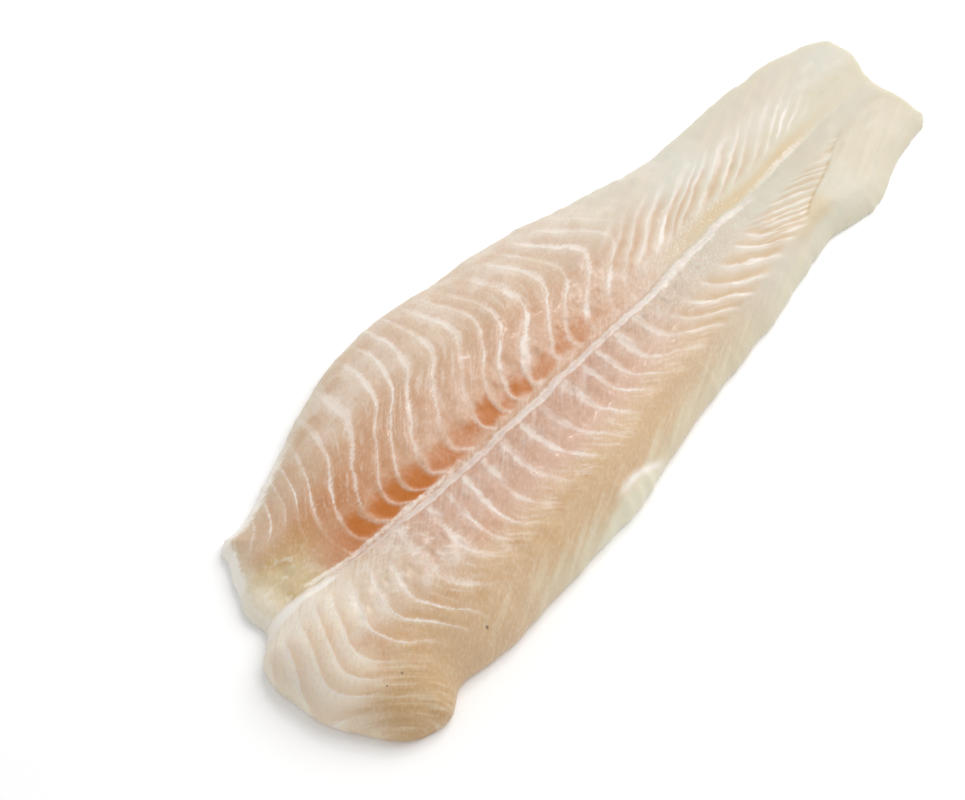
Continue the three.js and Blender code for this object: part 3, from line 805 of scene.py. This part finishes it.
# Noises: size in mm along and across, the turn of their long direction from the fillet's length, and detail
NOISES = {
    "blush": (5.0, 5.0, 0.0, 3.0),
    "milk": (8.0, 8.0, 0.0, 4.0),
    "wisp": (3.0, 1.5, -50.0, 4.0),
    "lump": (4.5, 4.5, 0.0, 2.0),
    "fibre": (13.0, 0.8, 38.0, 2.5),
    "flow": (16.0, 1.5, 20.0, 1.5),
    "strand": (6.0, 0.5, -3.0, 2.0),
    "thread": (1.3, 0.7, 30.0, 4.0),
    "grain": (14.0, 1.3, -45.0, 2.0),
    "break": (3.0, 3.0, 0.0, 2.0),
    "fray": (1.2, 1.2, 0.0, 4.0),
    "sparkle": (1.0, 0.6, 40.0, 5.0),
    "whisker": (2.4, 0.4, 0.0, 3.0),
}
NOISE_MIDDLE = 0.5

# Feather noise, which follows the flakes: its steps for each flake and each unit across, and its detail
FEATHER_STEPS = (5.0, 7.0, 1.0)
FEATHER_DETAIL = 2.0

# Lines over the tones: the count that places them, the mark of the line, its width as a part of one count,
# how fuzzy it is, and the mark, tone, strength, start and end of the darker flesh past it
LINES = (
    ("phase", "septum", 0.14, 1.0, "septum", FLAKE_SHADE, 0.32, 0.05, 0.8),
    ("phase", "head_septum", 0.12, 0.8, "head_septum", HEAD_ORANGE, 0.6, 0.05, 0.95),
    ("phase", "late_septum", 0.18, 0.6, "late_septum", STROKE_TAN, 0.75, 0.1, 0.95),
    ("strokes", "belly_stroke", 0.29, 0.25, "warm_gap", STROKE_ORANGE, 0.65, 0.15, 0.9),
    ("strokes", "stroke", 0.29, 0.25, "gap", STROKE_TAN, 0.5, 0.2, 0.95),
)

# Marks that widen a line, reach of its whiskers and fray, and its full core and halo as parts of its width
WIDENINGS = (("tuft", 0.14), ("band", 0.11), ("fine", -0.04))
WHISKER_REACH = 0.24
FRAY_REACH = 0.14
LINE_CORE = 0.25
HALO_REACH = 2.4
HALO_STRENGTH = 0.28

# Reach of the fray at the edges of cells, ridge and lip, and in mm at the torn skin
PIT_FRAY = 0.6
RIDGE_FRAY = 0.8
LIP_FRAY = 0.9
SKIN_FRAY = 3.0

# Ramps: where each begins and ends, and what it gives there, which is 0 and 1 where nothing else stands.
# Those of rim and skin begin and end at a distance from the edge, in mm. Most ramps are S-shaped.
SMOOTH = {"interpolation_type": "SMOOTHSTEP"}
PIT_NET_RAMP = {"From Min": 0.02, "From Max": 0.2, "To Max": 0.2}
PIT_RAMP = {"From Min": 0.05, "From Max": 0.85}
BROKEN_RAMP = {"From Min": 0.36, "From Max": 0.56, "To Min": 0.45}
SWELL_RAMP = {"From Min": 0.3, "From Max": 0.7, "To Min": 0.5, "To Max": 1.4}
STRAND_RAMP = {"From Min": 0.35, "From Max": 0.6, "To Min": 0.8}
RIDGE_RAMP = {"From Min": 0.05, "From Max": 1.1}
LIP_RAMP = {"From Min": 0.2, "From Max": 0.8, "To Max": 0.75}
RIM_RAMP = {"From Min": 0.0, "From Max": 6.0, "To Min": 0.7, "To Max": 0.0}
SKIN_RAMP = {"From Min": 1.5, "From Max": 3.6, "To Min": 0.95, "To Max": 0.0}

# Strength of plain marks, and of a speck, whose core is a part of its radius
FLAP_SHADE_STRENGTH = 0.4
FOLD_STRENGTH = 0.75
CREASE_STRENGTH = 0.9
SPECK_STRENGTH = 0.7
SPECK_CORE = 0.3

# Fine bump: shares of threads, ridge and fat beside the lines, its strength, and its full height
THREAD_BUMP = 0.5
RIDGE_BUMP = 0.6
FAT_BUMP = 1.5
BUMP_STRENGTH = 0.5
BUMP_HEIGHT = 0.3 * MM


def flesh_noises(node, place, mark):
    """Noises of the flesh: most by the place on the fillet, and the feather noise by flake and across."""
    noise = {}
    for name, (long, wide, turn, detail) in NOISES.items():
        size = (long * MM, wide * MM, long * MM)
        inputs = {"Vector": place, "Rotation": (0, 0, np.radians(turn)), "Scale": size}
        turned = node("Mapping", inputs, vector_type="TEXTURE")
        noise[name] = node("TexNoise", {"Vector": turned, "Scale": 1.0, "Detail": detail}, "Fac")
    flake_place = node("CombineXYZ", {"X": mark["phase"], "Y": mark["across"]})
    stretched = node("Mapping", {"Vector": flake_place, "Scale": FEATHER_STEPS})
    inputs = {"Vector": stretched, "Scale": 1.0, "Detail": FEATHER_DETAIL}
    noise["feather"] = node("TexNoise", inputs, "Fac")
    return noise


def tone_layers(node, mark, noise, fray):
    """Tones, the veils over them, and the orange cells, whose edges fray in a pale net of fibres."""
    layers = [(mark[name], tone) for name, tone in TONES]
    for tone, source, start, full, strength, limit in VEILS:
        inputs = {"Value": noise[source], "From Min": start, "From Max": full, "To Max": strength}
        veil = node("MapRange", inputs, **SMOOTH)
        layers.append((node("Math", {0: veil, 1: mark[limit]}, operation="MULTIPLY"), tone))
    net = node("MapRange", {"Value": mark["pit"], **PIT_NET_RAMP}, **SMOOTH)
    frayed = node("Math", {0: fray, 1: PIT_FRAY, 2: mark["pit"]}, operation="MULTIPLY_ADD")
    cell = node("MapRange", {"Value": frayed, **PIT_RAMP}, **SMOOTH)
    return layers + [(net, PIT_NET), (cell, PIT_ORANGE)]


def line_layers(node, mark, noise, fray):
    """Septa and strokes. Each flake is darker just past its front line and pales towards its crest. The
    line is white in a milky halo. It swells and thins, whiskers of fibre stick out of it, and its strength
    is broken up. Gives the layers, and each line with its fuzziness for the bump."""
    broken = node("MapRange", {"Value": noise["milk"], **BROKEN_RAMP}, **SMOOTH)
    swell = node("MapRange", {"Value": noise["lump"], **SWELL_RAMP})
    whisker = node("Math", {0: noise["whisker"], 1: NOISE_MIDDLE}, operation="SUBTRACT")
    whisker = node("Math", {0: whisker, 1: WHISKER_REACH}, operation="MULTIPLY")
    fuzz = node("Math", {0: fray, 1: FRAY_REACH, 2: whisker}, operation="MULTIPLY_ADD")
    layers = []
    lines = []
    for count, limit, width, fuzziness, dark_limit, dark_tone, darkness, dark_start, dark_end in LINES:
        in_flake = node("Math", {0: mark[count]}, operation="FRACT")
        dark = {"From Min": dark_start, "From Max": dark_end, "To Min": darkness, "To Max": 0.0}
        shade = node("MapRange", {"Value": in_flake, **dark}, **SMOOTH)
        layers.append((node("Math", {0: shade, 1: mark[dark_limit]}, operation="MULTIPLY"), dark_tone))

        for widener, gain in WIDENINGS:
            width = node("Math", {0: mark[widener], 1: gain, 2: width}, operation="MULTIPLY_ADD")
        width = node("Math", {0: width, 1: swell}, operation="MULTIPLY")
        from_whole = node("Math", {0: mark[count], 1: HALF_COUNT}, operation="PINGPONG")
        gap = node("Math", {0: fuzz, 1: fuzziness, 2: from_whole}, operation="MULTIPLY_ADD")
        near = node("Math", {0: width, 1: LINE_CORE}, operation="MULTIPLY")
        far = node("Math", {0: width, 1: HALO_REACH}, operation="MULTIPLY")
        core = node("MapRange", {"Value": gap, "From Min": width, "From Max": near}, **SMOOTH)
        inputs = {"Value": gap, "From Min": far, "From Max": 0.0, "To Max": HALO_STRENGTH}
        halo = node("MapRange", inputs, **SMOOTH)
        line = node("Math", {0: core, 1: halo}, operation="MAXIMUM")
        strength = node("Math", {0: broken, 1: mark[limit]}, operation="MULTIPLY")
        line = node("Math", {0: line, 1: strength}, operation="MULTIPLY")
        layers.append((line, SEPTUM_WHITE))
        lines.append((line, fuzziness))
    return layers, lines


def ridge_and_edge_layers(node, mark, noise, fray):
    """The fibrous ridge, the ragged lip of the groove, painted shade before the flap, the pale thin rim,
    torn skin at the belly's tip, and the fold with its crease. Gives the layers, and the ridge for the bump."""
    strands = node("MapRange", {"Value": noise["strand"], **STRAND_RAMP}, **SMOOTH)
    shredded = node("Math", {0: fray, 1: RIDGE_FRAY, 2: mark["ridge"]}, operation="MULTIPLY_ADD")
    ridge = node("MapRange", {"Value": shredded, **RIDGE_RAMP}, **SMOOTH)
    ridge = node("Math", {0: strands, 1: ridge}, operation="MULTIPLY")
    ragged = node("Math", {0: fray, 1: LIP_FRAY, 2: mark["lip"]}, operation="MULTIPLY_ADD")
    lip = node("MapRange", {"Value": ragged, **LIP_RAMP}, **SMOOTH)
    # painted shade at the foot of the flap's raised edge, in tan
    flap_line = node("Math", {0: mark["flap_line"], 1: FLAP_SHADE_STRENGTH}, operation="MULTIPLY")
    rim = node("MapRange", {"Value": mark["edge"], **RIM_RAMP}, **SMOOTH)
    rim = node("Math", {0: rim, 1: mark["rim"]}, operation="MULTIPLY")
    torn = node("Math", {0: fray, 1: SKIN_FRAY, 2: mark["edge"]}, operation="MULTIPLY_ADD")
    skin = node("MapRange", {"Value": torn, **SKIN_RAMP}, **SMOOTH)
    skin = node("Math", {0: skin, 1: mark["skin"]}, operation="MULTIPLY")
    fold = node("Math", {0: mark["fold"], 1: FOLD_STRENGTH}, operation="MULTIPLY")
    crease = node("Math", {0: mark["crease"], 1: CREASE_STRENGTH}, operation="MULTIPLY")
    layers = [
        (ridge, RIDGE_WHITE),
        (lip, LIP_WHITE),
        (flap_line, STROKE_TAN),
        (rim, RIM_PALE),
        (skin, LIP_WHITE),
        (fold, FOLD_PALE),
        (crease, LIP_WHITE),
    ]
    return layers, ridge


def speck_layers(node, place, mark):
    """Dark round specks on the bone side, by the level distance from their middles."""
    layers = []
    flat = node("VectorMath", {0: place, 1: (1, 1, 0)}, operation="MULTIPLY")
    for x, y, radius in SPECKS:
        gap = node("VectorMath", {0: flat, 1: (x * MM, y * MM, 0)}, "Value", operation="DISTANCE")
        reach = {"From Min": radius * MM, "From Max": SPECK_CORE * radius * MM, "To Max": SPECK_STRENGTH}
        speck = node("MapRange", {"Value": gap, **reach}, **SMOOTH)
        layers.append((node("Math", {0: speck, 1: mark["bone_side"]}, operation="MULTIPLY"), SPECK_BROWN))
    return layers


def flesh_bump(node, mark, noise, lines, ridge):
    """Relief too fine for the mesh: threads, raised lines, the strands of the ridge and grains of fat."""
    height = node("Math", {0: noise["thread"], 1: THREAD_BUMP}, operation="MULTIPLY")
    for line, fuzziness in lines:
        height = node("Math", {0: line, 1: fuzziness, 2: height}, operation="MULTIPLY_ADD")
    height = node("Math", {0: ridge, 1: RIDGE_BUMP, 2: height}, operation="MULTIPLY_ADD")
    lumpy = node("Math", {0: noise["break"], 1: mark["fat"]}, operation="MULTIPLY")
    height = node("Math", {0: lumpy, 1: FAT_BUMP, 2: height}, operation="MULTIPLY_ADD")
    return node("Bump", {"Height": height, "Strength": BUMP_STRENGTH, "Distance": BUMP_HEIGHT})


def raw_flesh():
    """Raw white fish: wet, slightly translucent muscle. The eye sees pale peach flakes with white septa,
    orange pits beside the groove, creamy thin edges and a film of water that glints, with some glints
    painted."""
    material, tree, shader = new_material("raw_swai_flesh", WET_FLESH)
    node = partial(add_node, tree)
    place = node("TexCoord", {}, "Object")
    names = {row[0] for row in PLACES} | set(BONE_SIDE_ONLY) | {"phase", "strokes", "across", "edge"}
    mark = {name: node("Attribute", {}, "Fac", attribute_name=name) for name in sorted(names)}
    noise = flesh_noises(node, place, mark)
    fray = node("Math", {0: noise["fray"], 1: NOISE_MIDDLE}, operation="SUBTRACT")

    layers = tone_layers(node, mark, noise, fray)
    drawn, lines = line_layers(node, mark, noise, fray)
    edges, ridge = ridge_and_edge_layers(node, mark, noise, fray)
    colour = linear(FLESH)
    for amount, tone in layers + drawn + edges + speck_layers(node, place, mark):
        colour = node("Mix", {0: amount, 6: colour, 7: linear(tone)}, 2, data_type="RGBA")
    tree.links.new(colour, shader.inputs["Base Color"])
    tree.links.new(flesh_bump(node, mark, noise, lines, ridge), shader.inputs["Normal"])
    return material


def make_fillet():
    """Put the fillet's arrays into a mesh with its marks, centred on the frame, and tie it to its body."""
    points, quads, triangles, values = fillet_mesh()
    middle = (points.min(0) + points.max(0)) / 2
    points[:, :2] -= middle[:2]
    corners = np.concatenate([quads.ravel(), triangles.ravel()])
    sizes = np.concatenate([np.full(len(quads), 4), np.full(len(triangles), 3)])
    mesh = bpy.data.meshes.new("fillet_flesh")
    mesh.vertices.add(len(points))
    mesh.vertices.foreach_set("co", points.ravel())
    mesh.loops.add(len(corners))
    mesh.loops.foreach_set("vertex_index", corners)
    mesh.polygons.add(len(sizes))
    mesh.polygons.foreach_set("loop_start", np.concatenate([[0], np.cumsum(sizes)[:-1]]))
    mesh.update(calc_edges=True)
    mesh.validate()
    mesh.shade_smooth()
    for name, numbers in values.items():
        layer = mesh.attributes.new(name, "FLOAT", "POINT")
        layer.data.foreach_set("value", numbers.astype(np.float32))

    piece = bpy.data.objects.new("fillet_flesh", mesh)
    bpy.context.scene.collection.objects.link(piece)
    mesh.materials.append(raw_flesh())
    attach(piece, "root")
    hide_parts("fillet")


def studio_floor():
    """White table: one large level square, wide enough for every view."""
    sides = ((-1, -1), (1, -1), (1, 1), (-1, 1))
    corners = [(FLOOR_HALF * x, FLOOR_HALF * y, 0) for x, y in sides]
    mesh = bpy.data.meshes.new("floor")
    mesh.from_pydata(corners, [], [(0, 1, 2, 3)])
    floor = bpy.data.objects.new("floor", mesh)
    bpy.context.scene.collection.objects.link(floor)
    mesh.materials.append(new_material("white_paper_floor", WHITE_PAPER)[0])


def view_directions():
    """Level unit vectors to the right and away, as the photograph's camera sees them."""
    turn = np.radians(VIEW_AZIMUTH)
    right = Vector((np.cos(turn), np.sin(turn), 0))
    away = Vector((-np.sin(turn), np.cos(turn), 0))
    return right, away


def aim(thing, target):
    """Turn a camera or light to look at a point."""
    thing.rotation_euler = (Vector(target) - thing.location).to_track_quat("-Z", "Y").to_euler()


def studio_camera():
    """Camera at the photograph's angle, distance and lens."""
    _, away = view_directions()
    tilt = np.radians(VIEW_ELEVATION)
    data = bpy.data.cameras.new("camera")
    data.lens = LENS
    data.sensor_width = SENSOR
    data.clip_start = NEAREST
    camera = bpy.data.objects.new("camera", data)
    towards_camera = Vector((0, 0, np.sin(tilt))) - away * np.cos(tilt)
    camera.location = Vector(VIEW_TARGET) + VIEW_DISTANCE * towards_camera
    bpy.context.scene.collection.objects.link(camera)
    aim(camera, VIEW_TARGET)
    bpy.context.scene.camera = camera


def studio_light():
    """Even white surroundings, one large soft light high up on the right behind the fillet, and a small
    lamp behind it for glints."""
    right, away = view_directions()
    world = bpy.data.worlds.new("white_studio")
    world.use_nodes = True
    background = world.node_tree.nodes["Background"]
    background.inputs["Color"].default_value = (1, 1, 1, 1)
    background.inputs["Strength"].default_value = SURROUNDINGS
    bpy.context.scene.world = world
    for name, size, energy, (to_right, to_back, up) in LAMPS:
        data = bpy.data.lights.new(name, "AREA")
        data.shape = "DISK"
        data.size = size
        data.energy = energy
        lamp = bpy.data.objects.new(name, data)
        lamp.location = right * to_right + away * to_back + Vector((0, 0, up))
        bpy.context.scene.collection.objects.link(lamp)
        aim(lamp, (0, 0, 0))
    bpy.context.scene.view_settings.view_transform = "Standard"


make_fillet()
studio_floor()
studio_camera()
studio_light()
